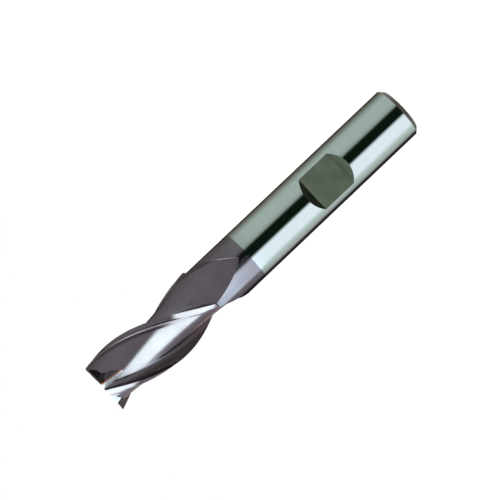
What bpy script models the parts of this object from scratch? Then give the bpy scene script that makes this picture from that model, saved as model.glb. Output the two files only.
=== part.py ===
"""Three-flute end mill with a cylindrical shank and a clamping flat.

One ground piece of high-speed steel. It stands on its shank end, +Z runs along its axis to the
cutting end, and the clamping flat faces -Y. Lengths are metres and angles are degrees.
"""

import math

import bmesh
import bpy
from mathutils import Matrix, Vector

MM = 0.001

# Blank
OVERALL_LENGTH = 85.0 * MM
SHANK_DIAMETER = 12.0 * MM
END_CHAMFER = 0.95 * MM

# Clamping flat on the shank
FLAT_LENGTH = 8.0 * MM
FLAT_CENTRE_HEIGHT = 22.2 * MM
FLAT_TO_FAR_SIDE = 10.3 * MM
FLAT_WALL_ANGLE = 45.0

# Cutting part
TOOTH_COUNT = 3
CUTTING_DIAMETER = 13.0 * MM
CUTTING_LENGTH = 28.4 * MM
HELIX_ANGLE = 30.0
CORE_DIAMETER = 8.0 * MM
FIRST_TOOTH_AZIMUTH = -87.6
GRINDING_ALLOWANCE = 0.15 * MM

# Lands behind each cutting edge, measured across the axis
PRIMARY_LAND = 1.05 * MM
PRIMARY_RELIEF = 17.5
SECONDARY_RELIEF = 38.0
SECONDARY_PASS = 2.2 * MM
LAND_LEAD = 0.3 * MM
LAND_RUN_OUT = 0.6 * MM

# Disc wheel that grinds a flute and leaves it with its own round
WHEEL_RADIUS = 28.0 * MM
WHEEL_SWIVEL = 39.9
WHEEL_PAST_RAKE = 0.8 * MM
WHEEL_PAST_HEEL = 8.1 * MM
WHEEL_STOP_HEIGHT = 59.5 * MM
WHEEL_DWELL = 0.01 * MM

# The wheel's rim leaves the metal towards the cutting end at the heel, and the shank at the rake
HEEL_SIDE = 1
RAKE_SIDE = -1

# End teeth
DISH_ANGLE = 3.0
END_RELIEF = 7.0
END_LAND = 1.85 * MM
END_BACK_RELIEF = 32.0
END_REACH_BEHIND = 80.0
GASH_ANGLE = 45.3
GASH_OPENING = 45.0
GASH_RAKE = 5.5
GASH_AHEAD_OF_CENTRE = 0.34 * MM
GASH_DEPTH_AT_CENTRE = 2.65 * MM
GASH_CORNER_RADIUS = 0.62 * MM

# Fineness of the curved faces
BLANK_SIDES = 96
WHEEL_SIDES = 240
FLUTE_STEP = 4.3
LAND_STEP = 1.6
FLOOR_POINTS = 14
RIM_POINTS = 9
GASH_CORNER_STEPS = 5
SHARPEST_SMOOTH_ANGLE = 20.0

# Room that a cutter keeps outside the metal it removes, and the reach of a whole cutter
CLEARANCE = 0.6 * MM
CUTTER_REACH = 12.0 * MM
END_OVERLAP = 0.55 * MM

# Derived sizes
SHANK_RADIUS = SHANK_DIAMETER / 2
CUTTING_RADIUS = CUTTING_DIAMETER / 2
HEAD_BLANK_RADIUS = CUTTING_RADIUS + GRINDING_ALLOWANCE
CORE_RADIUS = CORE_DIAMETER / 2
STEP_HEIGHT = OVERALL_LENGTH - CUTTING_LENGTH
OUTSIDE_RADIUS = CUTTING_RADIUS + CLEARANCE
HELIX_RISE = CUTTING_RADIUS / math.tan(math.radians(HELIX_ANGLE))
TOOTH_PITCH = 2 * math.pi / TOOTH_COUNT
UP = Vector((0.0, 0.0, 1.0))


def radial(azimuth):
    """Unit vector that points out from the axis at an azimuth in radians."""
    return Vector((math.cos(azimuth), math.sin(azimuth), 0.0))


def tip_azimuth(tooth):
    """Azimuth of a tooth's cutting edge at the cutting end."""
    return math.radians(FIRST_TOOTH_AZIMUTH) + tooth * TOOTH_PITCH


def edge_azimuth(tooth, height):
    """Azimuth of a tooth's cutting edge where the helix passes a height."""
    return tip_azimuth(tooth) + (height - OVERALL_LENGTH) / HELIX_RISE


def heights_between(low, high, step):
    """Heights from low to high, no further apart than a step in degrees round the helix."""
    count = math.ceil((high - low) / (HELIX_RISE * math.radians(step)))
    return [low + (high - low) * i / count for i in range(count + 1)]


def new_object(name, mesh, collection):
    """Object that carries a mesh, in a collection."""
    obj = bpy.data.objects.new(name, mesh)
    collection.objects.link(obj)
    return obj


def built_object(name, collection, build, matrix=None):
    """Object from a bmesh builder, in flat triangles that all face outward."""
    shape = bmesh.new()
    build(shape)
    bmesh.ops.triangulate(shape, faces=shape.faces, quad_method="SHORT_EDGE")
    bmesh.ops.recalc_face_normals(shape, faces=shape.faces)
    mesh = bpy.data.meshes.new(name)
    shape.to_mesh(mesh)
    shape.free()
    obj = new_object(name, mesh, collection)
    if matrix:
        obj.matrix_world = matrix
    return obj


def turned(name, profile, sides, collection, matrix=None):
    """Solid of revolution about Z, from (radius, height) pairs that run from top to bottom."""
    mesh = bpy.data.meshes.new(name)
    points = [(radius, 0.0, height) for radius, height in profile]
    mesh.from_pydata(points, [(i, i + 1) for i in range(len(points) - 1)], [])
    obj = new_object(name, mesh, collection)
    screw = obj.modifiers.new("Turn", "SCREW")
    screw.steps = screw.render_steps = sides
    screw.use_merge_vertices = True
    screw.merge_threshold = 0.00001
    if matrix:
        obj.matrix_world = matrix
    return obj


def loft(rings, cap_points):
    """Builder of a closed skin over rings of equal length, each end closed to one point."""

    def build(shape):
        rows = [[shape.verts.new(point) for point in ring] for ring in rings]
        count = len(rows[0])
        for row, following in zip(rows, rows[1:]):
            for i in range(count):
                j = (i + 1) % count
                shape.faces.new((row[i], row[j], following[j], following[i]))
        for row, point in zip((rows[0], rows[-1]), cap_points):
            tip = shape.verts.new(point)
            for i in range(count):
                shape.faces.new((row[i], row[(i + 1) % count], tip))

    return build


class Wheel:
    """Disc wheel at one place on its helical path along a flute."""

    def __init__(self, height, azimuth):
        swivel = math.radians(WHEEL_SWIVEL)
        self.out = radial(azimuth)
        around = UP.cross(self.out)
        self.spin = around * math.cos(swivel) - UP * math.sin(swivel)
        self.along = -around * math.sin(swivel) - UP * math.cos(swivel)
        self.centre = self.out * (CORE_RADIUS + WHEEL_RADIUS) + UP * height

    def rim(self, offset, turn):
        """Point on the wheel's face, at an offset along its axis and a turn round it."""
        inward = self.out * math.cos(turn) + self.along * math.sin(turn)
        return self.centre + self.spin * offset - inward * WHEEL_RADIUS

    def inside(self, depth):
        """Point in the middle of the wheel's width, at a depth below its face."""
        offset = (WHEEL_PAST_HEEL - WHEEL_PAST_RAKE) / 2
        return self.centre + self.spin * offset - self.out * (WHEEL_RADIUS - depth)

    def contact_turn(self, offset):
        """Turn at which the face touches the flute that its helical path leaves."""
        middle = self.centre + self.spin * offset
        motion = UP.cross(middle) + UP * HELIX_RISE
        return math.atan(-self.out.dot(motion) / self.along.dot(motion))

    def turn_at_radius(self, offset, side, radius):
        """Turn on one side of the contact at which a rim comes out to a radius from the axis."""
        start = self.contact_turn(offset)
        low, high = 0.0, math.pi / 2
        for _ in range(40):
            middle = (low + high) / 2
            if self.rim(offset, start + side * middle).xy.length < radius:
                low = middle
            else:
                high = middle
        return start + side * low

    def rim_arc(self, offset, side):
        """Points on a rim from just past its contact out to the clearance round the metal."""
        start = self.contact_turn(offset)
        end = self.turn_at_radius(offset, side, OUTSIDE_RADIUS)
        turns = (start + (end - start) * i / RIM_POINTS for i in range(1, RIM_POINTS + 1))
        return [self.rim(offset, turn) for turn in turns]

    def trace(self):
        """Closed curve on the wheel that shapes the flute, from the heel side to the rake side."""
        heel, rake = WHEEL_PAST_HEEL, -WHEEL_PAST_RAKE
        offsets = [heel + (rake - heel) * i / FLOOR_POINTS for i in range(FLOOR_POINTS + 1)]
        floor = [self.rim(offset, self.contact_turn(offset)) for offset in offsets]
        heel_arc = self.rim_arc(heel, HEEL_SIDE)
        return heel_arc[::-1] + floor + self.rim_arc(rake, RAKE_SIDE) + [self.inside(2 * CUTTING_RADIUS)]


def wheel_lag():
    """Azimuth from the wheel's deepest line to the cutting edge that its rim leaves."""
    wheel = Wheel(0.0, 0.0)
    turn = wheel.turn_at_radius(-WHEEL_PAST_RAKE, RAKE_SIDE, CUTTING_RADIUS)
    point = wheel.rim(-WHEEL_PAST_RAKE, turn)
    return math.atan2(point.y, point.x) - point.z / HELIX_RISE


def wheel_at(tooth, height):
    """Wheel at a height on the flute ahead of a tooth."""
    return Wheel(height, edge_azimuth(tooth, height) - wheel_lag())


def flute_sweep(tooth, collection):
    """Metal that the wheel clears on its helical path, from where it stops to past the tip."""
    drop = -min(point.z for point in Wheel(0.0, 0.0).trace())
    heights = heights_between(WHEEL_STOP_HEIGHT, OVERALL_LENGTH + drop + CLEARANCE, FLUTE_STEP)
    wheels = [wheel_at(tooth, height) for height in heights]
    caps = [wheel.inside(CUTTING_RADIUS - CORE_RADIUS) for wheel in (wheels[0], wheels[-1])]
    return built_object("flute_sweep", collection, loft([wheel.trace() for wheel in wheels], caps))


def wheel_imprint(tooth, collection):
    """Disc wheel where it stops, which leaves the flute's leaf-shaped run-out."""
    wheel = wheel_at(tooth, WHEEL_STOP_HEIGHT)
    radius = WHEEL_RADIUS + WHEEL_DWELL
    heel, rake = WHEEL_PAST_HEEL + WHEEL_DWELL, -WHEEL_PAST_RAKE - WHEEL_DWELL
    profile = [(0.0, heel), (radius, heel), (radius, rake), (0.0, rake)]
    rotation = Matrix((-wheel.out, -wheel.along, wheel.spin)).transposed().to_4x4()
    matrix = Matrix.Translation(wheel.centre) @ rotation
    return turned("wheel_imprint", profile, WHEEL_SIDES, collection, matrix)


def land_section():
    """Outline that lies outside one tooth's lands, as (ahead angle 0) x out and y behind."""
    primary, secondary = math.radians(PRIMARY_RELIEF), math.radians(SECONDARY_RELIEF)
    fall = Vector((-math.sin(primary), math.cos(primary)))
    edge = Vector((CUTTING_RADIUS, 0.0))
    lead = edge - fall * LAND_LEAD
    strip_end = edge + fall * PRIMARY_LAND
    back = strip_end + Vector((-math.sin(secondary), math.cos(secondary))) * SECONDARY_PASS
    return [lead, strip_end, back, back.normalized() * OUTSIDE_RADIUS, lead.normalized() * OUTSIDE_RADIUS]


def land_cutter(tooth, collection):
    """Twisted bar that grinds the primary and the secondary land behind a cutting edge."""
    section = land_section()
    middle = sum(section, Vector((0.0, 0.0))) / len(section)

    def place(point, height):
        azimuth = edge_azimuth(tooth, height)
        behind = radial(azimuth - math.pi / 2)
        return radial(azimuth) * point.x + behind * point.y + UP * height

    heights = heights_between(STEP_HEIGHT - LAND_RUN_OUT, OVERALL_LENGTH + CLEARANCE, LAND_STEP)
    rings = [[place(point, height) for point in section] for height in heights]
    caps = [place(middle, heights[0]), place(middle, heights[-1])]
    return built_object("land_cutter", collection, loft(rings, caps))


def end_face_height(out, ahead):
    """Height of a tooth's end face at a place, given out from the axis and ahead of the corner."""
    dish = (CUTTING_RADIUS - out) * math.tan(math.radians(DISH_ANGLE))
    relief = max(ahead, -END_LAND) * math.tan(math.radians(END_RELIEF))
    back_relief = min(ahead + END_LAND, 0.0) * math.tan(math.radians(END_BACK_RELIEF))
    return OVERALL_LENGTH - dish + relief + back_relief


def end_relief_cutter(tooth, collection):
    """Block over one tooth's share of the end, with the dished and relieved end face below it."""
    behind, ahead = math.radians(END_REACH_BEHIND), TOOTH_PITCH - math.radians(END_REACH_BEHIND)
    land_start = (END_LAND / math.tan(behind) - END_OVERLAP, -END_LAND)
    back_end = (CUTTER_REACH / math.tan(behind) - END_OVERLAP, -CUTTER_REACH)
    front_end = (CUTTER_REACH, CUTTER_REACH * math.tan(ahead) + END_OVERLAP)
    corners = [
        (-END_OVERLAP, 0.0),
        land_start,
        back_end,
        (CUTTER_REACH, -CUTTER_REACH),
        (CUTTER_REACH, -END_LAND),
        front_end,
    ]
    bottom = [Vector((x, y, end_face_height(x, y))) for x, y in corners]
    top = [Vector((x, y, OVERALL_LENGTH + CUTTER_REACH)) for x, y in corners]
    cap = (bottom[1] + bottom[4]) / 2
    cap_top = Vector((cap.x, cap.y, top[0].z))
    matrix = Matrix.Rotation(tip_azimuth(tooth), 4, "Z")
    return built_object("end_relief", collection, loft([bottom, top], [cap, cap_top]), matrix)


def gash_section():
    """Rim of the gashing wheel, as up the gash's wall x off the wall, from its sharp corner."""
    opening = math.radians(GASH_OPENING)
    centre = Vector((GASH_CORNER_RADIUS / math.tan(opening / 2), GASH_CORNER_RADIUS))
    outline = [Vector((CUTTER_REACH, 0.0))]
    for step in range(GASH_CORNER_STEPS + 1):
        turn = (math.pi - opening) * step / GASH_CORNER_STEPS
        outline.append(centre - Vector((math.sin(turn), math.cos(turn))) * GASH_CORNER_RADIUS)
    outline.append(Vector((math.cos(opening), math.sin(opening))) * CUTTER_REACH)
    return outline


def gash_cutter(tooth, collection):
    """Bar with the gashing wheel's rim that opens the end of a flute and faces the end tooth."""
    angle = math.radians(GASH_ANGLE)
    lean = math.tan(math.radians(GASH_RAKE))
    along = Vector((-math.cos(angle), math.sin(angle) * lean, math.sin(angle))).normalized()
    off_wall = Vector((0.0, 1.0, -lean)).normalized()
    up_wall = off_wall.cross(along)
    depth = GASH_DEPTH_AT_CENTRE
    corner = Vector((0.0, GASH_AHEAD_OF_CENTRE - depth * lean, OVERALL_LENGTH - depth))
    section = gash_section()
    middle = sum(section, Vector((0.0, 0.0))) / len(section)

    def place(point, reach):
        return corner + up_wall * point.x + off_wall * point.y + along * reach

    reaches = (-CUTTER_REACH, CUTTER_REACH)
    rings = [[place(point, reach) for point in section] for reach in reaches]
    caps = [place(middle, reach) for reach in reaches]
    matrix = Matrix.Rotation(tip_azimuth(tooth), 4, "Z")
    return built_object("gash_cutter", collection, loft(rings, caps), matrix)


def clamping_flat_cutter(collection):
    """Block with sloped ends that mills the clamping flat on the -Y side."""
    flat_depth = FLAT_TO_FAR_SIDE - SHANK_RADIUS
    flare = CUTTER_REACH * math.tan(math.radians(FLAT_WALL_ANGLE))

    def build(shape):
        bmesh.ops.create_cube(shape, size=1.0)
        size = (2 * SHANK_DIAMETER, CUTTER_REACH, FLAT_LENGTH)
        bmesh.ops.scale(shape, vec=size, verts=shape.verts)
        for vert in shape.verts:
            if vert.co.y < 0.0:
                vert.co.z += math.copysign(flare, vert.co.z)

    matrix = Matrix.Translation((0.0, -flat_depth - CUTTER_REACH / 2, FLAT_CENTRE_HEIGHT))
    return built_object("clamping_flat_cutter", collection, build, matrix)


def steel_blank(collection):
    """Turned blank: the head still oversize, the step to the shank, and the chamfered end."""
    step_foot = STEP_HEIGHT - (CUTTING_RADIUS - SHANK_RADIUS)
    profile = [
        (0.0, OVERALL_LENGTH + GRINDING_ALLOWANCE),
        (HEAD_BLANK_RADIUS, OVERALL_LENGTH + GRINDING_ALLOWANCE),
        (HEAD_BLANK_RADIUS, STEP_HEIGHT + GRINDING_ALLOWANCE),
        (SHANK_RADIUS, step_foot),
        (SHANK_RADIUS, END_CHAMFER),
        (SHANK_RADIUS - END_CHAMFER, 0.0),
        (0.0, 0.0),
    ]
    return turned("end_mill", profile, BLANK_SIDES, collection)


def high_speed_steel():
    """Bright ground tool steel."""
    material = bpy.data.materials.new("high_speed_steel")
    material.use_nodes = True
    shader = material.node_tree.nodes["Principled BSDF"]
    shader.inputs["Base Color"].default_value = (0.46, 0.47, 0.45, 1.0)
    shader.inputs["Metallic"].default_value = 1.0
    shader.inputs["Roughness"].default_value = 0.3
    return material


def cut(blank, cutters):
    """Take every cutter away from the blank, and leave the ground piece as one mesh."""
    for cutter in cutters:
        cutter.hide_render = True
        cutter.display_type = "WIRE"
        boolean = blank.modifiers.new(cutter.name, "BOOLEAN")
        boolean.object = cutter
    graph = bpy.context.evaluated_depsgraph_get()
    ground = bpy.data.meshes.new_from_object(blank.evaluated_get(graph))
    blank.modifiers.clear()
    blank.data = ground
    ground.shade_smooth()
    ground.set_sharp_from_angle(angle=math.radians(SHARPEST_SMOOTH_ANGLE))


def main():
    for obj in list(bpy.data.objects):
        bpy.data.objects.remove(obj)
    parts = bpy.data.collections.new("end_mill")
    cutters = bpy.data.collections.new("cutters")
    for collection in (parts, cutters):
        bpy.context.scene.collection.children.link(collection)

    per_tooth = (flute_sweep, wheel_imprint, land_cutter, end_relief_cutter, gash_cutter)
    grinding = [make(tooth, cutters) for make in per_tooth for tooth in range(TOOTH_COUNT)]
    end_mill = steel_blank(parts)
    cut(end_mill, grinding + [clamping_flat_cutter(cutters)])
    end_mill.data.materials.clear()
    end_mill.data.materials.append(high_speed_steel())


if __name__ == "__main__":
    main()
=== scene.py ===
"""Looks of a three-flute end mill: a bright ground shank and a dark coated cutting part.

The tool stands on its shank end on a pale floor, in metres, in the frame of the CAD model. Its fine
surface is ground here from a turned blank by the same wheels as in the model, in smaller steps, and
every ground face carries a map of its grinding lay for the finishes.
"""

import logging
import math
from collections.abc import Sequence
from dataclasses import dataclass, field
from enum import IntEnum

import bmesh
import bpy
from mathutils import Matrix, Vector

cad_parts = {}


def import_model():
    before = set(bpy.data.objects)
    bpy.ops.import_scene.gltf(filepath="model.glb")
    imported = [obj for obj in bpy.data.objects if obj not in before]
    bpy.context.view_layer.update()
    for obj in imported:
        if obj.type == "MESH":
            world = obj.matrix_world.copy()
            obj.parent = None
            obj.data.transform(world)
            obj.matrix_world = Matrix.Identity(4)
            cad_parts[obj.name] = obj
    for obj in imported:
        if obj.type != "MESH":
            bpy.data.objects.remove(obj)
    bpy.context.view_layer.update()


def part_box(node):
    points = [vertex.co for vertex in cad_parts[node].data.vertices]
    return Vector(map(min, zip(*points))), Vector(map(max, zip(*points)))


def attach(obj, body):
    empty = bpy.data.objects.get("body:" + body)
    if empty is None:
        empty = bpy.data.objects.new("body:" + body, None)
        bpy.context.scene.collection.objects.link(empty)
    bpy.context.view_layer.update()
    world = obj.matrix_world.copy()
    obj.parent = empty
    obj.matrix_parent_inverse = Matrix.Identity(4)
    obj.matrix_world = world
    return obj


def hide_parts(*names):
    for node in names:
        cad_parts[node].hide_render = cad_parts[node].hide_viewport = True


LOG = logging.getLogger("end_mill")
MM = 0.001
NODE = "end_mill"
PHOTO_SIDE = 500
# Azimuth of the camera in degrees, which the studio turns with.
CAMERA_FACING = -86.6
# Name of the map that gives the grinding lines their direction.
LAY = "lay"
UP = Vector((0.0, 0.0, 1.0))
WHITE = (1.0, 1.0, 1.0)

Colour = tuple[float, float, float]
Slots = Sequence[bpy.types.Material]


class Ground(IntEnum):
    """Kinds of face on the tool, in the order of its material slots."""

    ROUND = 0
    END = 1
    FLAT = 2
    FLUTE = 3
    IMPRINT = 4
    LAND = 5
    TOOTH = 6
    GASH = 7
    WALL = 8
    HEAT = 9


def radial(azimuth: float) -> Vector:
    """Return the unit vector out from the axis at an azimuth in radians."""
    return Vector((math.cos(azimuth), math.sin(azimuth), 0.0))


@dataclass(frozen=True)
class Sizes:
    """Driving sizes of the tool, in metres and degrees."""

    length: float
    shank: float = 12.0 * MM
    end_chamfer: float = 0.95 * MM
    flat_length: float = 8.0 * MM
    flat_height: float = 22.2 * MM
    flat_to_far_side: float = 10.3 * MM
    flat_wall: float = 45.0
    teeth: int = 3
    cutting: float = 13.0 * MM
    cutting_length: float = 28.4 * MM
    helix: float = 30.0
    core: float = 8.0 * MM
    first_tooth: float = -87.6
    allowance: float = 0.15 * MM
    primary_land: float = 1.05 * MM
    primary_relief: float = 17.5
    secondary_relief: float = 38.0
    secondary_pass: float = 2.2 * MM
    land_lead: float = 0.3 * MM
    land_run_out: float = 0.6 * MM
    wheel_radius: float = 28.0 * MM
    wheel_swivel: float = 39.9
    wheel_past_rake: float = 0.8 * MM
    wheel_past_heel: float = 8.1 * MM
    wheel_stop: float = 59.5 * MM
    wheel_dwell: float = 0.01 * MM
    dish: float = 3.0
    end_relief: float = 7.0
    end_land: float = 1.85 * MM
    end_back_relief: float = 32.0
    end_behind: float = 80.0
    end_overlap: float = 0.55 * MM
    gash_angle: float = 45.3
    gash_opening: float = 45.0
    gash_rake: float = 5.5
    gash_ahead: float = 0.34 * MM
    gash_depth: float = 2.65 * MM
    gash_corner: float = 0.62 * MM
    coat_height: float = 44.6 * MM

    @property
    def rise(self) -> float:
        """Return the height that the helix climbs in one radian."""
        return self.cutting / 2 / math.tan(math.radians(self.helix))

    @property
    def pitch(self) -> float:
        """Return the angle between two teeth."""
        return 2 * math.pi / self.teeth

    @property
    def step_height(self) -> float:
        """Return the height at which the cutting part steps down to the shank."""
        return self.length - self.cutting_length

    def tip_azimuth(self, tooth: int) -> float:
        """Return the azimuth of a tooth's edge at the cutting end."""
        return math.radians(self.first_tooth) + tooth * self.pitch

    def edge_azimuth(self, tooth: int, height: float) -> float:
        """Return the azimuth of a tooth's edge at a height."""
        return self.tip_azimuth(tooth) + (height - self.length) / self.rise


@dataclass(frozen=True)
class Fineness:
    """How finely the faces are divided, and how far the cutters stand clear of the metal."""

    blank_sides: int = 288
    wheel_sides: int = 720
    flute_step: float = 1.5
    land_step: float = 0.75
    floor_points: int = 34
    rim_points: int = 18
    rim_halvings: int = 40
    gash_corner_steps: int = 12
    clearance: float = 0.7 * MM
    reach: float = 12.0 * MM
    sharp_angle: float = 18.0


def evenly(low: float, high: float, step: float) -> list[float]:
    """Divide a range into equal steps.

    Args:
        low: First value.
        high: Last value.
        step: Longest step allowed.

    Returns:
        The values from low to high, both included.
    """
    count = math.ceil(abs(high - low) / step)
    return [low + (high - low) * i / count for i in range(count + 1)]


@dataclass
class Skin:
    """Closed surface in the making, with its kind of face and its lay map."""

    name: str
    kind: Ground
    shape: bmesh.types.BMesh = field(default_factory=bmesh.new)

    def loft(
        self,
        rings: Sequence[Sequence[Vector]],
        caps: Sequence[Vector],
        along_rows: bool,
        cap_kind: Ground | None = None,
        column_kinds: dict[int, Ground] | None = None,
    ) -> "Skin":
        """Stretch a skin over closed rings and close each end to a point.

        Args:
            rings: Rings of equal length, in order.
            caps: Point that closes the first ring, and the one that closes the last.
            along_rows: Whether the grinding lines run from ring to ring, and not round each ring.
            cap_kind: Kind of the faces that close the ends, if not the skin's own.
            column_kinds: Kind of each column of faces that isn't of the skin's own kind.

        Returns:
            This skin.
        """
        rows = [[self.shape.verts.new(point) for point in ring] for ring in rings]
        lay = self.shape.loops.layers.uv.new(LAY)
        count = len(rings[0])
        round_run = [0.0]
        for i in range(count):
            round_run.append(round_run[-1] + (rings[0][(i + 1) % count] - rings[0][i]).length)
        row_run = [0.0]
        for ring, following in zip(rings, rings[1:]):
            row_run.append(row_run[-1] + (following[count // 2] - ring[count // 2]).length)
        for k, (row, following) in enumerate(zip(rows, rows[1:])):
            for i in range(count):
                j = (i + 1) % count
                face = self.shape.faces.new((row[i], row[j], following[j], following[i]))
                face.material_index = (column_kinds or {}).get(i, self.kind)
                spots = ((k, i), (k, i + 1), (k + 1, i + 1), (k + 1, i))
                for loop, (r, c) in zip(face.loops, spots):
                    run, across = row_run[r] / MM, round_run[c] / MM
                    loop[lay].uv = (run, across) if along_rows else (across, run)
        for row, point in zip((rows[0], rows[-1]), caps):
            tip = self.shape.verts.new(point)
            for i in range(count):
                face = self.shape.faces.new((row[i], row[(i + 1) % count], tip))
                face.material_index = self.kind if cap_kind is None else cap_kind
                for loop in face.loops:
                    offset = loop.vert.co - point
                    turn = math.atan2(offset.y, offset.x)
                    loop[lay].uv = (turn, offset.length / MM)
        return self

    def block(self, size: Vector, middle: Vector) -> "Skin":
        """Start from a block.

        Args:
            size: Length of each side.
            middle: Where the block's middle is.

        Returns:
            This skin.
        """
        bmesh.ops.create_cube(self.shape, size=1.0)
        bmesh.ops.scale(self.shape, vec=size, verts=self.shape.verts)
        bmesh.ops.translate(self.shape, vec=middle, verts=self.shape.verts)
        return self

    def map_block(self) -> "Skin":
        """Give every face a lay whose lines run along X."""
        lay = self.shape.loops.layers.uv.verify()
        for face in self.shape.faces:
            face.material_index = self.kind
            for loop in face.loops:
                place = loop.vert.co / MM
                loop[lay].uv = (place.x, place.y + place.z)
        return self

    def finish(self, slots: Slots, matrix: Matrix | None = None) -> bpy.types.Object:
        """Make the object.

        Args:
            slots: Materials of the whole tool, in the order of Ground.
            matrix: Where the skin goes, if not in place already.

        Returns:
            The object, in the scene's collection.
        """
        bmesh.ops.triangulate(self.shape, faces=self.shape.faces, quad_method="SHORT_EDGE")
        bmesh.ops.recalc_face_normals(self.shape, faces=self.shape.faces)
        if matrix:
            bmesh.ops.transform(self.shape, matrix=matrix, verts=self.shape.verts)
        mesh = bpy.data.meshes.new(self.name)
        for material in slots:
            mesh.materials.append(material)
        self.shape.to_mesh(mesh)
        self.shape.free()
        mesh.uv_layers[0].name = LAY
        obj = bpy.data.objects.new(self.name, mesh)
        bpy.context.scene.collection.objects.link(obj)
        return obj


def circle(radius: float, height: float, sides: int) -> list[Vector]:
    """Return points round the Z axis at a radius and a height."""
    return [radial(2 * math.pi * i / sides) * radius + UP * height for i in range(sides)]


class Wheel:
    """Disc wheel at one place on its helical path along a flute."""

    def __init__(self, sizes: Sizes, height: float, azimuth: float) -> None:
        """Place the wheel.

        Args:
            sizes: Sizes of the tool.
            height: Height of the wheel's deepest line.
            azimuth: Azimuth of the wheel's deepest line.
        """
        swivel = math.radians(sizes.wheel_swivel)
        self.sizes = sizes
        self.out = radial(azimuth)
        around = UP.cross(self.out)
        self.spin = around * math.cos(swivel) - UP * math.sin(swivel)
        self.along = -around * math.sin(swivel) - UP * math.cos(swivel)
        self.centre = self.out * (sizes.core / 2 + sizes.wheel_radius) + UP * height

    def rim(self, offset: float, turn: float) -> Vector:
        """Return the point on the wheel's face at an offset along its axis and a turn round it."""
        inward = self.out * math.cos(turn) + self.along * math.sin(turn)
        return self.centre + self.spin * offset - inward * self.sizes.wheel_radius

    def inside(self, depth: float) -> Vector:
        """Return the point in the middle of the wheel's width at a depth below its face."""
        offset = (self.sizes.wheel_past_heel - self.sizes.wheel_past_rake) / 2
        return self.centre + self.spin * offset - self.out * (self.sizes.wheel_radius - depth)

    def contact_turn(self, offset: float) -> float:
        """Find where the face touches the flute that its path leaves.

        Args:
            offset: Place along the wheel's axis.

        Returns:
            The turn round the wheel.
        """
        middle = self.centre + self.spin * offset
        motion = UP.cross(middle) + UP * self.sizes.rise
        return math.atan(-self.out.dot(motion) / self.along.dot(motion))

    def turn_at_radius(self, offset: float, side: int, radius: float, fine: Fineness) -> float:
        """Find where a rim comes out of the metal.

        Args:
            offset: Place of the rim along the wheel's axis.
            side: 1 towards the cutting end, -1 towards the shank.
            radius: Distance from the tool's axis to come out to.
            fine: How closely to find it.

        Returns:
            The turn round the wheel.
        """
        start = self.contact_turn(offset)
        low, high = 0.0, math.pi / 2
        for _ in range(fine.rim_halvings):
            middle = (low + high) / 2
            if self.rim(offset, start + side * middle).xy.length < radius:
                low = middle
            else:
                high = middle
        return start + side * low

    def rim_arc(self, offset: float, side: int, fine: Fineness) -> list[Vector]:
        """Follow a rim from its contact out to just clear of the metal.

        Args:
            offset: Place of the rim along the wheel's axis.
            side: 1 towards the cutting end, -1 towards the shank.
            fine: How finely to divide it.

        Returns:
            The points after the contact.
        """
        start = self.contact_turn(offset)
        end = self.turn_at_radius(offset, side, self.sizes.cutting / 2 + fine.clearance, fine)
        count = fine.rim_points
        return [self.rim(offset, start + (end - start) * i / count) for i in range(1, count + 1)]

    def trace(self, fine: Fineness) -> list[Vector]:
        """Draw the curve on the wheel that shapes the flute.

        Args:
            fine: How finely to divide it.

        Returns:
            The points of the closed curve, from heel to rake.
        """
        heel, rake = self.sizes.wheel_past_heel, -self.sizes.wheel_past_rake
        count = fine.floor_points
        offsets = [heel + (rake - heel) * i / count for i in range(count + 1)]
        floor = [self.rim(offset, self.contact_turn(offset)) for offset in offsets]
        closing = [self.inside(self.sizes.cutting)]
        return self.rim_arc(heel, 1, fine)[::-1] + floor + self.rim_arc(rake, -1, fine) + closing


@dataclass(frozen=True)
class Blank:
    """Turned blank with the clamping flat, before the flutes."""

    sizes: Sizes
    fine: Fineness

    def body(self, slots: Slots) -> bpy.types.Object:
        """Turn the blank, whose head is still oversize.

        Args:
            slots: Materials of the tool.

        Returns:
            The blank.
        """
        s = self.sizes
        head = s.cutting / 2 + s.allowance
        shank = s.shank / 2
        step_foot = s.step_height - (s.cutting / 2 - shank)
        profile = [
            (head, s.length + s.allowance),
            (head, s.step_height + s.allowance),
            (shank, step_foot),
            (shank, s.end_chamfer),
            (shank - s.end_chamfer, 0.0),
        ]
        rings = [circle(radius, height, self.fine.blank_sides) for radius, height in profile]
        caps = (UP * profile[0][1], Vector((0.0, 0.0, 0.0)))
        obj = Skin(NODE, Ground.ROUND).loft(rings, caps, along_rows=False).finish(slots)
        for polygon in obj.data.polygons:
            if polygon.center.z < s.end_chamfer:
                polygon.material_index = Ground.END
        return obj

    def flat_cutter(self, slots: Slots) -> bpy.types.Object:
        """Make the block with sloped ends that mills the clamping flat.

        Args:
            slots: Materials of the tool.

        Returns:
            The cutter.
        """
        s = self.sizes
        reach = self.fine.reach
        depth = s.flat_to_far_side - s.shank / 2
        middle = Vector((0.0, -depth - reach / 2, s.flat_height))
        slope = reach * math.tan(math.radians(s.flat_wall))
        skin = Skin("clamping_flat", Ground.FLAT)
        skin.block(Vector((2 * reach, reach, s.flat_length)), middle)
        for vert in skin.shape.verts:
            if vert.co.y < middle.y:
                vert.co.z += math.copysign(slope, vert.co.z - middle.z)
        return skin.map_block().finish(slots)


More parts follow.
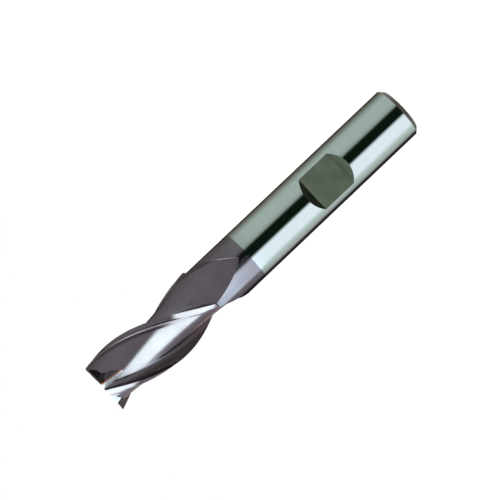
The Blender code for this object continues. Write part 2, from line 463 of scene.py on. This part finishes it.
@dataclass(frozen=True)
class Flutes:
    """Helical flutes with the wheel's imprint at their shank end."""

    sizes: Sizes
    fine: Fineness

    def lag(self) -> float:
        """Find how far the cutting edge lies from the wheel that leaves it.

        Returns:
            The azimuth from the wheel's deepest line to the edge at the same height.
        """
        wheel = Wheel(self.sizes, 0.0, 0.0)
        rake = -self.sizes.wheel_past_rake
        point = wheel.rim(rake, wheel.turn_at_radius(rake, -1, self.sizes.cutting / 2, self.fine))
        return math.atan2(point.y, point.x) - point.z / self.sizes.rise

    def wheel(self, tooth: int, height: float) -> Wheel:
        """Return the wheel at a height on the flute ahead of a tooth."""
        return Wheel(self.sizes, height, self.sizes.edge_azimuth(tooth, height) - self.lag())

    def sweep(self, tooth: int, slots: Slots) -> bpy.types.Object:
        """Sweep the wheel from where it stops to past the tip.

        Args:
            tooth: Tooth that the flute lies ahead of.
            slots: Materials of the tool.

        Returns:
            The cutter.
        """
        s = self.sizes
        drop = -min(point.z for point in Wheel(s, 0.0, 0.0).trace(self.fine))
        step = s.rise * math.radians(self.fine.flute_step)
        top = s.length + drop + self.fine.clearance
        wheels = [self.wheel(tooth, height) for height in evenly(s.wheel_stop, top, step)]
        caps = [wheel.inside((s.cutting - s.core) / 2) for wheel in (wheels[0], wheels[-1])]
        rings = [wheel.trace(self.fine) for wheel in wheels]
        return Skin("flute", Ground.FLUTE).loft(rings, caps, along_rows=True).finish(slots)

    def imprint(self, tooth: int, slots: Slots) -> bpy.types.Object:
        """Set the whole wheel where it stops.

        Args:
            tooth: Tooth that the flute lies ahead of.
            slots: Materials of the tool.

        Returns:
            The cutter.
        """
        s = self.sizes
        wheel = self.wheel(tooth, s.wheel_stop)
        radius = s.wheel_radius + s.wheel_dwell
        ends = (s.wheel_past_heel + s.wheel_dwell, -s.wheel_past_rake - s.wheel_dwell)
        rings = [circle(radius, height, self.fine.wheel_sides) for height in ends]
        caps = [UP * height for height in ends]
        axes = Matrix((-wheel.out, -wheel.along, wheel.spin)).transposed().to_4x4()
        skin = Skin("imprint", Ground.IMPRINT)
        skin.loft(rings, caps, along_rows=False, cap_kind=Ground.WALL)
        return skin.finish(slots, Matrix.Translation(wheel.centre) @ axes)


@dataclass(frozen=True)
class Lands:
    """Primary and secondary lands behind the helical edges."""

    sizes: Sizes
    fine: Fineness

    def section(self) -> list[Vector]:
        """Outline what lies outside one tooth's lands.

        Returns:
            The corners, as x out from the axis and y behind the edge.
        """
        s = self.sizes
        primary, secondary = math.radians(s.primary_relief), math.radians(s.secondary_relief)
        fall = Vector((-math.sin(primary), math.cos(primary)))
        edge = Vector((s.cutting / 2, 0.0))
        lead = edge - fall * s.land_lead
        strip_end = edge + fall * s.primary_land
        back = strip_end + Vector((-math.sin(secondary), math.cos(secondary))) * s.secondary_pass
        outside = s.cutting / 2 + self.fine.clearance
        return [lead, strip_end, back, back.normalized() * outside, lead.normalized() * outside]

    def cutter(self, tooth: int, slots: Slots) -> bpy.types.Object:
        """Make the twisted bar that grinds both lands of a tooth.

        Args:
            tooth: Tooth to grind.
            slots: Materials of the tool.

        Returns:
            The cutter.
        """
        s = self.sizes
        section = self.section()
        middle = sum(section, Vector((0.0, 0.0))) / len(section)

        def place(point: Vector, height: float) -> Vector:
            """Return a point of the section at a height."""
            azimuth = s.edge_azimuth(tooth, height)
            return radial(azimuth) * point.x + radial(azimuth - math.pi / 2) * point.y + UP * height

        step = s.rise * math.radians(self.fine.land_step)
        heights = evenly(s.step_height - s.land_run_out, s.length + self.fine.clearance, step)
        rings = [[place(point, height) for point in section] for height in heights]
        caps = [place(middle, heights[0]), place(middle, heights[-1])]
        return Skin("land", Ground.LAND).loft(rings, caps, along_rows=True).finish(slots)


@dataclass(frozen=True)
class EndTeeth:
    """Relieved end faces and the gashes in front of them.

    The gash is bare steel with a painted highlight, apart from its far side and a heat-tinted strip
    of the corner beside that, whose columns are counted back from the bar's last.
    """

    sizes: Sizes
    fine: Fineness
    heat_columns: tuple[int, ...] = (2, 3, 4)

    def face_height(self, out: float, ahead: float) -> float:
        """Find how high an end face lies.

        Args:
            out: Distance out from the axis, along the edge.
            ahead: Distance ahead of the edge, or behind it where negative.

        Returns:
            The height there.
        """
        s = self.sizes
        dish = (s.cutting / 2 - out) * math.tan(math.radians(s.dish))
        relief = max(ahead, -s.end_land) * math.tan(math.radians(s.end_relief))
        back_relief = min(ahead + s.end_land, 0.0) * math.tan(math.radians(s.end_back_relief))
        return s.length - dish + relief + back_relief

    def relief(self, tooth: int, slots: Slots) -> bpy.types.Object:
        """Make the block above one tooth's share of the end.

        Args:
            tooth: Tooth to relieve.
            slots: Materials of the tool.

        Returns:
            The cutter.
        """
        s, reach = self.sizes, self.fine.reach
        behind = math.tan(math.radians(s.end_behind))
        ahead = math.tan(s.pitch - math.radians(s.end_behind))
        corners = [
            (-s.end_overlap, 0.0),
            (s.end_land / behind - s.end_overlap, -s.end_land),
            (reach / behind - s.end_overlap, -reach),
            (reach, -reach),
            (reach, -s.end_land),
            (reach, reach * ahead + s.end_overlap),
        ]
        bottom = [Vector((x, y, self.face_height(x, y))) for x, y in corners]
        top = [Vector((x, y, s.length + reach)) for x, y in corners]
        cap = (bottom[1] + bottom[4]) / 2
        skin = Skin("end_relief", Ground.TOOTH)
        skin.loft([bottom, top], [cap, cap + UP * reach], along_rows=False).map_block()
        return skin.finish(slots, Matrix.Rotation(s.tip_azimuth(tooth), 4, "Z"))

    def gash_section(self) -> list[Vector]:
        """Outline the gashing wheel's rim, with its rounded corner.

        Returns:
            The points, as x up the gash's wall and y off it from where the two walls would meet.
        """
        s, reach, steps = self.sizes, self.fine.reach, self.fine.gash_corner_steps
        opening = math.radians(s.gash_opening)
        centre = Vector((s.gash_corner / math.tan(opening / 2), s.gash_corner))
        outline = [Vector((reach, 0.0))]
        for turn in evenly(0.0, math.pi - opening, (math.pi - opening) / steps):
            outline.append(centre - Vector((math.sin(turn), math.cos(turn))) * s.gash_corner)
        outline.append(Vector((math.cos(opening), math.sin(opening))) * reach)
        return outline

    def gash(self, tooth: int, slots: Slots) -> bpy.types.Object:
        """Make the bar with the gashing wheel's rim that opens the flute's end.

        Args:
            tooth: Tooth that the gash lies ahead of.
            slots: Materials of the tool.

        Returns:
            The cutter.
        """
        s, reach = self.sizes, self.fine.reach
        angle = math.radians(s.gash_angle)
        lean = math.tan(math.radians(s.gash_rake))
        along = Vector((-math.cos(angle), math.sin(angle) * lean, math.sin(angle))).normalized()
        off_wall = Vector((0.0, 1.0, -lean)).normalized()
        up_wall = off_wall.cross(along)
        corner = Vector((0.0, s.gash_ahead - s.gash_depth * lean, s.length - s.gash_depth))
        section = self.gash_section()

        def place(point: Vector, distance: float) -> Vector:
            """Return a point of the section at a distance along the gash."""
            return corner + up_wall * point.x + off_wall * point.y + along * distance

        rings = [[place(point, distance) for point in section] for distance in (-reach, reach)]
        caps = [sum(ring, Vector()) / len(ring) for ring in rings]
        last = len(section) - 1
        kinds = {last - 1: Ground.TOOTH} | {last - back: Ground.HEAT for back in self.heat_columns}
        skin = Skin("gash", Ground.GASH).loft(rings, caps, along_rows=True, column_kinds=kinds)
        return skin.finish(slots, Matrix.Rotation(s.tip_azimuth(tooth), 4, "Z"))


class Wire:
    """Socket of a shader graph that takes part in arithmetic."""

    def __init__(self, graph: "Graph", socket: bpy.types.NodeSocket) -> None:
        """Wrap an output socket of a graph."""
        self.graph = graph
        self.socket = socket

    def math(self, operation: str, *others: "Wire | float") -> "Wire":
        """Return this wire's value after a Math node's operation, with any further operands."""
        return self.graph.math(operation, self, *others)

    def __add__(self, other: "Wire | float") -> "Wire":
        """Add."""
        return self.math("ADD", other)

    def __sub__(self, other: "Wire | float") -> "Wire":
        """Subtract."""
        return self.math("SUBTRACT", other)

    def __rsub__(self, other: float) -> "Wire":
        """Subtract from a number."""
        return self.graph.math("SUBTRACT", other, self)

    def __mul__(self, other: "Wire | float") -> "Wire":
        """Multiply."""
        return self.math("MULTIPLY", other)

    __radd__ = __add__
    __rmul__ = __mul__

    def ease(self, low: float, high: float) -> "Wire":
        """Return a smooth step from 0 at low to 1 at high."""
        settings = {"interpolation_type": "SMOOTHSTEP"}
        inputs = {"Value": self, "From Min": low, "From Max": high}
        return self.graph.node("ShaderNodeMapRange", settings, inputs)


Shade = Wire | Colour


class Graph:
    """Shader graph of one material or world."""

    def __init__(self, tree: bpy.types.NodeTree) -> None:
        """Start an empty graph in a node tree."""
        self.tree = tree
        tree.nodes.clear()

    def node(
        self,
        kind: str,
        settings: dict | None = None,
        inputs: dict | None = None,
        out: str | int = 0,
    ) -> Wire | None:
        """Add any node.

        Args:
            kind: Blender's name of the node's type.
            settings: Properties to set before its sockets.
            inputs: Value or wire for each input, by name or place.
            out: Output to return, by name or place.

        Returns:
            The chosen output, or None for a node without any.
        """
        node = self.tree.nodes.new(kind)
        for name, value in (settings or {}).items():
            setattr(node, name, value)
        for name, value in (inputs or {}).items():
            if isinstance(value, Wire):
                self.tree.links.new(value.socket, node.inputs[name])
            else:
                node.inputs[name].default_value = value
        return Wire(self, node.outputs[out]) if len(node.outputs) else None

    def math(self, operation: str, *operands: Wire | float) -> Wire:
        """Return the value of a Math node's operation on wires and numbers."""
        return self.node("ShaderNodeMath", {"operation": operation}, dict(enumerate(operands)))

    def blend(self, factor: Wire, first: Shade, second: Shade, label: str = "") -> Wire:
        """Mix two colours.

        Args:
            factor: Share of the second colour.
            first: First colour.
            second: Second colour.
            label: What the mix is called in the graph.

        Returns:
            The mixed colour.
        """
        colours = [(*c, 1.0) if isinstance(c, tuple) else c for c in (first, second)]
        inputs = {0: factor, 6: colours[0], 7: colours[1]}
        return self.node("ShaderNodeMix", {"data_type": "RGBA", "label": label}, inputs, out=2)

    def background(self, colour: Shade) -> Wire:
        """Return a background that shines with a colour at a strength of 1."""
        value = (*colour, 1.0) if isinstance(colour, tuple) else colour
        return self.node("ShaderNodeBackground", inputs={"Color": value, "Strength": 1.0})

    def mix(self, factor: Wire, first: Wire, second: Wire) -> Wire:
        """Return a mix of two shaders by a factor."""
        return self.node("ShaderNodeMixShader", inputs={0: factor, 1: first, 2: second})

    def ray(self, kind: str) -> Wire:
        """Return whether the ray that meets this point is of a kind, such as Is Camera Ray."""
        return self.node("ShaderNodeLightPath", out=kind)

    def part(self, vector: Wire, axis: str) -> Wire:
        """Return one part of a vector, X, Y or Z."""
        return self.node("ShaderNodeSeparateXYZ", inputs={0: vector}, out=axis)

    def noise(
        self,
        vector: Wire,
        scale: float = 1.0,
        detail: float = 2.0,
        roughness: float = 0.5,
    ) -> Wire:
        """Return a noise value about 0.5 at a place."""
        inputs = {"Vector": vector, "Scale": scale, "Detail": detail, "Roughness": roughness}
        return self.node("ShaderNodeTexNoise", inputs=inputs)

    def lay(self) -> Wire:
        """Return the lay map, which runs along the grinding lines in X and across them in Y."""
        return self.node("ShaderNodeUVMap", {"uv_map": LAY})

    def lay_vector(self, run: float, across: float) -> Wire:
        """Return the lay map stretched so that noise on it makes lines."""
        inputs = {"Vector": self.lay(), "Scale": (run, across, 1.0)}
        return self.node("ShaderNodeMapping", inputs=inputs)


@dataclass(frozen=True)
class Lines:
    """Grinding lines of a finish.

    They vary so many times in a millimetre along and across, are as deep as the bump, and spread
    the roughness about its mean.
    """

    run: float
    across: float
    bump: float
    spread: float = 0.10


@dataclass(frozen=True)
class Grain:
    """Fine texture that all the finishes share."""

    line_detail: float = 4.0
    line_roughness: float = 0.62
    fine_run: float = 2.0
    fine_across: float = 3.0
    fine_share: float = 0.5
    cloud_scale: float = 260.0
    cloud_detail: float = 3.0
    cloud_range: tuple[float, float] = (0.3, 0.7)
    patch_range: tuple[float, float] = (0.25, 0.75)
    patch_shade: float = 0.9
    mottle_shade: float = 0.3
    relief: float = 0.02 * MM
    boundary_scale: float = 900.0
    boundary_wander: float = 0.25 * MM
    boundary_softness: float = 0.15 * MM


@dataclass(frozen=True)
class HeelHighlight:
    """Painted highlight: a pale, less metallic line along the flute's heel, fading towards the tip.

    Its reach and softness are in millimetres on the lay map, the others in metres of height.
    """

    reach: float = 2.85
    softness: float = 0.2
    colour: Colour = (0.70, 0.68, 0.74)
    starts: tuple[float, float] = (58.0 * MM, 62.0 * MM)
    fades: tuple[float, float] = (73.0 * MM, 80.0 * MM)
    fade_share: float = 0.8
    metallic_loss: float = 0.5


@dataclass(frozen=True)
class GroundMetal:
    """Finish of ground steel, with the dark coating above its boundary."""

    name: str
    lines: Lines
    coat_height: float
    steel: Colour = (0.52, 0.53, 0.51)
    steel_roughness: float = 0.1
    coat: Colour = (0.205, 0.18, 0.205)
    coat_light: Colour = (0.235, 0.21, 0.235)
    coat_roughness: float = 0.2
    metallic: float = 1.0
    mottle: float = 0.0
    heel_highlight: HeelHighlight | None = None
    grain: Grain = Grain()

    def material(self) -> bpy.types.Material:
        """Build the material.

        Returns:
            The finish as a material.
        """
        material = bpy.data.materials.new(self.name)
        material.use_nodes = True
        g = Graph(material.node_tree)
        grain = self.grain
        run, across = self.lines.run, self.lines.across
        spot = g.node("ShaderNodeTexCoord", out="Object")
        height = g.part(spot, "Z")
        lay = g.lay_vector(run, across)
        lines = g.noise(lay, detail=grain.line_detail, roughness=grain.line_roughness)
        fine_lines = g.noise(g.lay_vector(run * grain.fine_run, across * grain.fine_across))
        cloud = g.noise(spot, grain.cloud_scale, grain.cloud_detail)
        boundary = height + (g.noise(spot, grain.boundary_scale) - 0.5) * grain.boundary_wander
        softness = grain.boundary_softness
        coated = boundary.ease(self.coat_height - softness, self.coat_height + softness)

        dark = g.blend(cloud.ease(*grain.cloud_range), self.coat, self.coat_light)
        patches = lines * (1.0 - self.mottle) + cloud * self.mottle
        shade = grain.patch_shade - grain.mottle_shade * self.mottle
        shaded = tuple(part * shade for part in self.steel)
        bright = g.blend(patches.ease(*grain.patch_range), shaded, self.steel)
        colour = g.blend(coated, bright, dark)
        metallic: Wire | float = self.metallic
        # Painted highlight along the flute's heel: a pale, less metallic colour.
        if self.heel_highlight:
            painted_highlight = self.painted_highlight(g, height)
            colour = g.blend(painted_highlight, colour, self.heel_highlight.colour)
            metallic = painted_highlight * -self.heel_highlight.metallic_loss + self.metallic
        rough = (self.coat_roughness - self.steel_roughness) * coated + self.steel_roughness
        rough = rough + (lines - 0.5) * self.lines.spread
        relief = lines + fine_lines * grain.fine_share
        bump = {"Strength": self.lines.bump, "Distance": grain.relief, "Height": relief}
        surface = {
            "Base Color": colour,
            "Metallic": metallic,
            "Roughness": rough,
            "Normal": g.node("ShaderNodeBump", inputs=bump),
        }
        shader = g.node("ShaderNodeBsdfPrincipled", inputs=surface)
        g.node("ShaderNodeOutputMaterial", inputs={"Surface": shader})
        return material

    def painted_highlight(self, g: Graph, height: Wire) -> Wire:
        """Return where the painted highlight along the heel lies.

        Args:
            g: Graph of the material.
            height: Height on the tool in metres.

        Returns:
            A value from 0 to 1.
        """
        heel_highlight = self.heel_highlight
        across = g.part(g.lay(), "Y")
        beside = 1.0 - across.ease(heel_highlight.reach - heel_highlight.softness, heel_highlight.reach + heel_highlight.softness)
        started = height.ease(*heel_highlight.starts)
        faded = height.ease(*heel_highlight.fades) * heel_highlight.fade_share
        return beside * started * (1.0 - faded)


@dataclass(frozen=True)
class EndMill:
    """The whole tool.

    The narrow wall of a run-out has a painted highlight, a lighter and mostly matt colour, which
    reaches a little above the coating's boundary, up to that height times wall_highlight_to, and the
    gashes are bare at any height.
    """

    sizes: Sizes
    fine: Fineness
    wall_highlight_to: float = 1.12

    def finishes(self) -> list[bpy.types.Material]:
        """Make every finish of the tool.

        Returns:
            The materials in the order of Ground.
        """
        coat = self.sizes.coat_height
        bare = 2 * coat
        makes = {
            Ground.ROUND: GroundMetal(
                "round_grinding",
                Lines(0.1, 12.0, 0.02, 0.03),
                coat,
                steel_roughness=0.045,
                coat=(0.19, 0.16, 0.175),
                coat_light=(0.21, 0.18, 0.20),
                coat_roughness=0.1,
            ),
            Ground.END: GroundMetal(
                "turned_end", Lines(0.3, 10.0, 0.1), coat, steel=(0.3, 0.29, 0.24), steel_roughness=0.4
            ),
            # A much darker copy of the steel: painted shade on the clamping flat.
            Ground.FLAT: GroundMetal(
                "milled_flat_painted_shade",
                Lines(0.3, 8.0, 0.1),
                coat,
                steel=(0.125, 0.135, 0.105),
                steel_roughness=0.4,
                mottle=0.7,
            ),
            # The flutes carry a painted highlight along their heels.
            Ground.FLUTE: GroundMetal(
                "flute_grinding", Lines(0.03, 5.0, 0.12, 0.2), coat, coat_roughness=0.17, heel_highlight=HeelHighlight()
            ),
            Ground.IMPRINT: GroundMetal(
                "wheel_run_out", Lines(0.02, 5.0, 0.2, 0.15), coat, coat_roughness=0.25
            ),
            # A lighter, mostly matt copy of the coating: painted highlight on the narrow wall.
            Ground.WALL: GroundMetal(
                "run_out_wall_painted_highlight",
                Lines(0.1, 6.0, 0.1),
                self.wall_highlight_to * coat,
                steel=(0.36, 0.33, 0.34),
                steel_roughness=0.4,
                metallic=0.2,
            ),
            Ground.LAND: GroundMetal(
                "land_grinding", Lines(0.2, 14.0, 0.05), coat, coat_roughness=0.1
            ),
            # A darker copy of the coating: painted shade on the end teeth's facets.
            Ground.TOOTH: GroundMetal(
                "end_tooth_grinding_painted_shade",
                Lines(0.2, 10.0, 0.03),
                coat,
                coat=(0.17, 0.145, 0.15),
                coat_light=(0.19, 0.165, 0.175),
                coat_roughness=0.15,
            ),
            # Bare steel with a painted highlight: a pale, bluish, mostly matt colour.
            Ground.GASH: GroundMetal(
                "gash_grinding_painted_highlight",
                Lines(0.1, 10.0, 0.05),
                bare,
                steel=(0.64, 0.71, 0.76),
                steel_roughness=0.5,
                metallic=0.15,
            ),
            Ground.HEAT: GroundMetal(
                "heat_tinted_edge",
                Lines(0.1, 10.0, 0.05),
                bare,
                steel=(0.42, 0.17, 0.09),
                steel_roughness=0.35,
                metallic=0.3,
            ),
        }
        return [makes[kind].material() for kind in Ground]

    def build(self) -> bpy.types.Object:
        """Grind the tool from its blank.

        Returns:
            The finished piece.
        """
        slots = self.finishes()
        blank = Blank(self.sizes, self.fine)
        flutes = Flutes(self.sizes, self.fine)
        lands = Lands(self.sizes, self.fine)
        ends = EndTeeth(self.sizes, self.fine)
        makers = (flutes.sweep, flutes.imprint, lands.cutter, ends.relief, ends.gash)
        piece = blank.body(slots)
        cutters = [make(tooth, slots) for make in makers for tooth in range(self.sizes.teeth)]
        cutters.append(blank.flat_cutter(slots))
        for cutter in cutters:
            boolean = piece.modifiers.new(cutter.name, "BOOLEAN")
            boolean.solver = "MANIFOLD"
            boolean.object = cutter
        graph = bpy.context.evaluated_depsgraph_get()
        ground = bpy.data.meshes.new_from_object(piece.evaluated_get(graph))
        piece.modifiers.clear()
        piece.data = ground
        for cutter in cutters:
            bpy.data.objects.remove(cutter)
        ground.shade_smooth()
        ground.set_sharp_from_angle(angle=math.radians(self.fine.sharp_angle))
        piece.name = "ground_end_mill"
        return piece


@dataclass(frozen=True)
class PhotoCamera:
    """Camera that sees the tool as the photograph does."""

    tilt: float = 4.97
    roll: float = 43.47
    distance: float = 483.8 * MM
    focal_pixels: float = 2325.0
    sensor: float = 36.0
    nearest: float = 10.0 * MM
    aim_height: float = 43.1 * MM
    aim_along: float = -0.045 * MM
    aim_across: float = -0.312 * MM

    def build(self) -> bpy.types.Object:
        """Place the camera.

        Returns:
            The camera.
        """
        near = radial(math.radians(CAMERA_FACING))
        across = near.cross(UP)
        tilt, roll = math.radians(self.tilt), math.radians(self.roll)
        to_shank = near * math.sin(tilt) - UP * math.cos(tilt)
        forward = -near * math.cos(tilt) - UP * math.sin(tilt)
        right = to_shank * math.cos(roll) + across * math.sin(roll)
        up = to_shank * math.sin(roll) - across * math.cos(roll)
        aim = UP * self.aim_height + to_shank * self.aim_along + across * self.aim_across
        data = bpy.data.cameras.new("photo_camera")
        data.sensor_width = self.sensor
        data.lens = self.focal_pixels / PHOTO_SIDE * self.sensor
        data.clip_start = self.nearest
        camera = bpy.data.objects.new("photo_camera", data)
        bpy.context.scene.collection.objects.link(camera)
        axes = Matrix((right, up, -forward)).transposed().to_4x4()
        camera.matrix_world = Matrix.Translation(aim - forward * self.distance) @ axes
        bpy.context.scene.camera = camera
        return camera


def off_view(degrees: float) -> Vector:
    """Return the level direction that many degrees from the camera, towards the lamp."""
    return radial(math.radians(CAMERA_FACING - degrees))


@dataclass(frozen=True)
class Zone:
    """Part of the studio that the metal mirrors, in degrees from the camera and above the level.

    It lies half a width to each side of its middle, from its low to its high, and fades over its
    feather at the sides and over its edge above and below. For each degree of height its half
    width grows by the flare and its middle moves by the slant.
    """

    name: str
    colour: Colour
    side: float
    half_width: float
    feather: float = 10.0
    low: float = -90.0
    high: float = 90.0
    edge: float = 4.0
    flare: float = 0.0
    slant: float = 0.0

    def weight(self, side: Wire, height: Wire) -> Wire:
        """Return how much of this zone a direction meets.

        Args:
            side: Degrees of the direction from the camera, round the tool.
            height: Degrees of the direction above the level.

        Returns:
            A value from 0 to 1.
        """
        feather, edge = self.feather / 2, self.edge / 2
        offset = (side - height * self.slant - self.side).math("ABSOLUTE") - height * self.flare
        across = 1.0 - offset.ease(self.half_width - feather, self.half_width + feather)
        above = height.ease(self.low - edge, self.low + edge)
        below = 1.0 - height.ease(self.high - edge, self.high + edge)
        return across * above * below


@dataclass(frozen=True)
class SoftBox:
    """Square lamp that gives the floor its shadow. The metal mirrors a zone in its place."""

    off_view: float = 45.0
    distance: float = 0.7
    height: float = 0.5
    aim_height: float = 0.045
    side: float = 0.8
    power: float = 9.0
    colour: Colour = (0.86, 0.95, 1.0)

    def build(self) -> None:
        """Hang the lamp so that it faces the tool."""
        data = bpy.data.lights.new("key_soft_box", "AREA")
        data.shape = "RECTANGLE"
        data.size = data.size_y = self.side
        data.energy = self.power
        data.color = self.colour
        lamp = bpy.data.objects.new("key_soft_box", data)
        bpy.context.scene.collection.objects.link(lamp)
        lamp.location = off_view(self.off_view) * self.distance + UP * self.height
        sight = UP * self.aim_height - lamp.location
        lamp.rotation_euler = sight.to_track_quat("-Z", "Y").to_euler()
        lamp.visible_glossy = False


@dataclass(frozen=True)
class Floor:
    """Pale floor, which the camera sees as white apart from the tool's shadow."""

    side: float = 3.0
    matt: Colour = (0.25, 0.25, 0.25)
    bounce: Colour = (0.45, 0.45, 0.45)
    glow: float = 0.85

    def material(self) -> bpy.types.Material:
        """Build the floor's finish, which glossy rays pass through to the studio.

        Returns:
            The material.
        """
        material = bpy.data.materials.new("pale_floor")
        material.use_nodes = True
        g = Graph(material.node_tree)
        matt = g.node("ShaderNodeBsdfDiffuse", inputs={"Color": (*self.matt, 1.0)})
        glow = g.node("ShaderNodeEmission", inputs={"Color": (*WHITE, 1.0), "Strength": self.glow})
        bounce = g.node("ShaderNodeEmission", inputs={"Color": (*self.bounce, 1.0)})
        clear = g.node("ShaderNodeBsdfTransparent", inputs={"Color": (*WHITE, 1.0)})
        lifted = g.mix(g.ray("Is Camera Ray"), bounce, glow)
        both = g.node("ShaderNodeAddShader", inputs={0: matt, 1: lifted})
        shown = g.mix(g.ray("Is Glossy Ray"), both, clear)
        g.node("ShaderNodeOutputMaterial", inputs={"Surface": shown})
        return material

    def build(self) -> None:
        """Lay the floor at the height of the tool's end."""
        shape = bmesh.new()
        bmesh.ops.create_grid(shape, x_segments=1, y_segments=1, size=self.side / 2)
        mesh = bpy.data.meshes.new("floor")
        shape.to_mesh(mesh)
        shape.free()
        mesh.materials.append(self.material())
        floor = bpy.data.objects.new("floor", mesh)
        bpy.context.scene.collection.objects.link(floor)


@dataclass(frozen=True)
class Studio:
    """Pale floor, a soft lamp, and the surroundings that the metal mirrors.

    A zone's numbers are its middle, half width, feather, low, high, edge, flare and slant. Each
    zone covers those before it.
    """

    plain: Colour = (0.8, 0.8, 0.8)
    ceiling: Colour = (0.25, 0.215, 0.205)
    zones: tuple[Zone, ...] = (
        Zone("overhead", (2.1, 2.65, 2.6), 0.0, 400.0, low=70.0, edge=16.0),
        Zone("left_ceiling", (0.09, 0.08, 0.08), -150.0, 40.0, 30.0, 40.0, 72.0, 8.0),
        Zone("right_ceiling", (0.09, 0.08, 0.08), 135.0, 35.0, 30.0, 28.0, 72.0, 8.0),
        Zone("table", (0.155, 0.14, 0.13), 0.0, 400.0, high=-24.0, edge=24.0),
        Zone("floor_behind", (0.50, 0.51, 0.50), -180.0, 62.0, 24.0, -66.0, -16.0, 10.0),
        Zone("floor_behind_end", (0.50, 0.51, 0.50), 180.0, 62.0, 24.0, -66.0, -16.0, 10.0),
        Zone("table_right", (0.40, 0.30, 0.285), 98.0, 28.0, 24.0, -50.0, -24.0, 8.0),
        Zone("table_front", (0.31, 0.26, 0.22), -15.0, 40.0, 40.0, -34.0, -16.0, 8.0),
        Zone("left_wall", (0.47, 0.47, 0.49), -52.0, 68.0, 100.0, -34.0, 24.0, 16.0),
        Zone("right_wall", (0.55, 0.54, 0.60), 84.0, 36.0, 60.0, -12.0, 24.0, 8.0),
        Zone("right_wall_deep", (0.30, 0.31, 0.29), 90.0, 80.0, 30.0, -36.0, -12.0, 16.0),
        Zone("left_foot", (0.17, 0.165, 0.12), -95.0, 95.0, 4.0, -12.0, -4.7, 0.8),
        Zone("left_wall_foot", (0.64, 0.80, 0.76), -66.0, 46.0, 60.0, -15.0, -4.7, 0.8),
        Zone("right_wall_foot", (0.78, 0.94, 0.92), 60.0, 55.0, 38.0, -15.0, -4.7, 0.8),
        Zone("soft_box", (4.0, 4.9, 4.7), 33.5, 32.5, 14.0, -2.8, 18.0, 1.0, 1.4, 1.9),
        Zone("soft_box_low", (2.7, 3.6, 4.0), 47.0, 43.0, 16.0, -4.7, -2.8, 0.8),
        Zone("box_frame", (0.04, 0.04, 0.04), 32.0, 28.0, 12.0, 19.0, 34.0, 4.0),
        Zone("soft_box_top", (3.6, 4.2, 4.3), 102.0, 48.0, 14.0, 14.0, 26.0, 4.0),
        Zone("right_corner", (0.80, 0.82, 0.92), 128.0, 14.0, 14.0, 6.0, 15.0, 4.0),
        Zone("soft_box_foot", (1.42, 1.62, 1.78), 40.0, 43.0, 30.0, -11.0, -4.7, 0.8),
        Zone("camera_stand", (0.005, 0.014, 0.008), -0.5, 22.5, 15.0, -16.0, -2.0, 2.0),
        Zone("left_flag", (0.03, 0.03, 0.03), -163.0, 18.0, 26.0, -20.0, 75.0),
        Zone("right_end", (0.55, 0.43, 0.42), 150.0, 18.0, 14.0, -2.0, 6.0, 2.0),
        Zone("right_flag", (0.03, 0.03, 0.03), 152.0, 24.0, 12.0, -20.0, -2.8, 1.0),
        Zone("backdrop", (1.0, 1.0, 1.0), -180.0, 5.0, 2.0, -20.0, 0.0),
        Zone("backdrop_end", (1.0, 1.0, 1.0), 180.0, 5.0, 2.0, -20.0, 0.0),
    )

    def surroundings(self, g: Graph) -> Wire:
        """Lay the zones over the ceiling.

        Args:
            g: Graph of the world.

        Returns:
            The colour that the metal mirrors from a direction.
        """
        toward = g.node("ShaderNodeTexCoord", out="Generated")

        def share(axis: Vector) -> Wire:
            """Return how far the direction points along an axis."""
            inputs = {0: toward, 1: axis}
            return g.node("ShaderNodeVectorMath", {"operation": "DOT_PRODUCT"}, inputs, out="Value")

        aside, facing = share(off_view(90.0)), share(off_view(0.0))
        side = aside.math("ARCTAN2", facing) * math.degrees(1.0)
        height = share(UP).math("ARCSINE") * math.degrees(1.0)
        colour: Shade = self.ceiling
        for zone in self.zones:
            colour = g.blend(zone.weight(side, height), colour, zone.colour, zone.name)
        return colour

    def world(self) -> None:
        """Surround the tool: white to the camera, the studio to the metal, plain to the rest."""
        world = bpy.data.worlds.new("studio")
        world.use_nodes = True
        bpy.context.scene.world = world
        g = Graph(world.node_tree)
        plain, studio, white = map(g.background, (self.plain, self.surroundings(g), WHITE))
        mirrored = g.mix(g.ray("Is Glossy Ray"), plain, studio)
        seen = g.mix(g.ray("Is Camera Ray"), mirrored, white)
        g.node("ShaderNodeOutputWorld", inputs={"Surface": seen})

    def build(self) -> None:
        """Set the whole studio."""
        bpy.context.scene.view_settings.view_transform = "Standard"
        self.world()
        SoftBox().build()
        Floor().build()


def main() -> None:
    """Build the tool, its camera and its studio, and report each piece."""
    logging.basicConfig(level=logging.INFO, format="%(name)s: %(message)s")
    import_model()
    sizes = Sizes(length=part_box(NODE)[1][2])
    piece = EndMill(sizes, Fineness()).build()
    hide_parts(NODE)
    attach(piece, "root")
    LOG.info("%s has %d faces", piece.name, len(piece.data.polygons))
    PhotoCamera().build()
    Studio().build()


if __name__ == "__main__":
    main()
